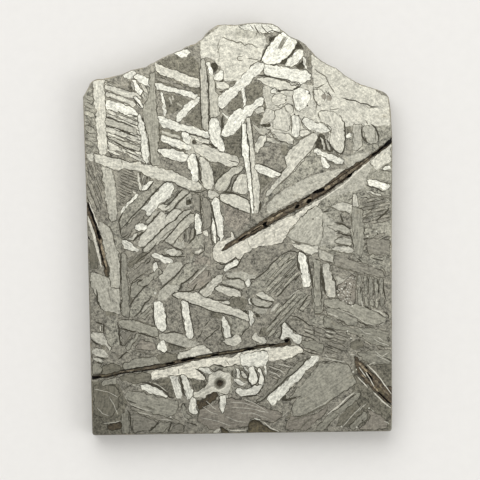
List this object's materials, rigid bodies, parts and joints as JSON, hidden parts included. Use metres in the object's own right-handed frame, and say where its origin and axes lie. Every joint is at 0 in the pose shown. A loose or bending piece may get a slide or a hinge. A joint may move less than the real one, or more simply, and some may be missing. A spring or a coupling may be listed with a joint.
{
  "type": "iron meteorite slice",
  "caption": "Thin flat slice of iron meteorite, etched to show a crossing lattice of bright metal bars, with brown-filled fissures, a small pit and one uneven natural rim.",
  "frame": {"origin": "centre of the slice's bounding box in plan, on the plane of the back face that it rests on", "axes": "+Z out of the etched front face, +Y along the long side towards the uneven natural rim, +X to the right seen from the front"},
  "size_m": [0.0344, 0.0456, 0.003],
  "materials": {
    "meteoritic_iron": "acid-etched satin metal, silver bars on grey-olive ground, brown oxide in the fissures"
  },
  "bodies": {
    "root": {"meteorite_slice": "meteoritic_iron"}
  },
  "joints": []
}
